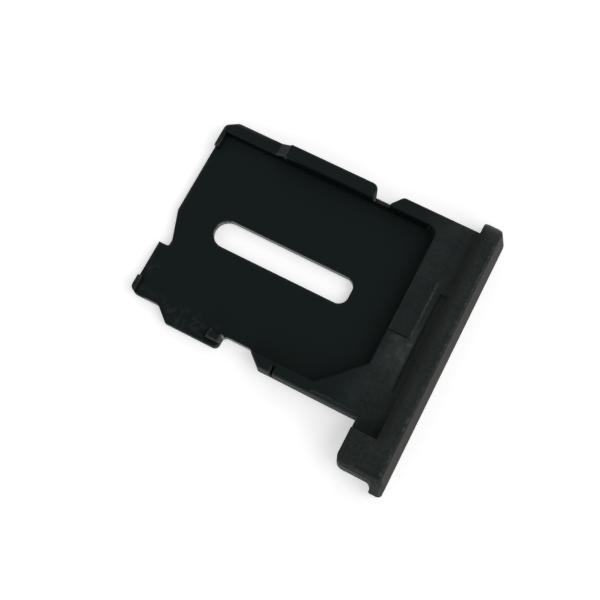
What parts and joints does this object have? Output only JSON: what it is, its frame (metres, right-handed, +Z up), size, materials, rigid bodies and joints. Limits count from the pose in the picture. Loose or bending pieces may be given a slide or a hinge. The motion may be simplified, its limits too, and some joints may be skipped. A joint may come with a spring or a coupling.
{
  "type": "sim card tray",
  "caption": "Flat moulded phone card tray with a shallow card seat, guide rails with detent notches, a long slot through its floor and a raised front bar with a lug at one end.",
  "frame": {"origin": "centre of the tray's box at its flat underside", "axes": "+Z up out of the card seat, +X towards the front bar, the way the tray pulls out, +Y along the bar away from its lug"},
  "size_m": [0.0196, 0.0184, 0.0022],
  "materials": {
    "black_plastic": "satin black moulded plastic, finely grained, polished by wear on the flange"
  },
  "bodies": {
    "root": {"sim_tray": "black_plastic"}
  },
  "joints": []
}
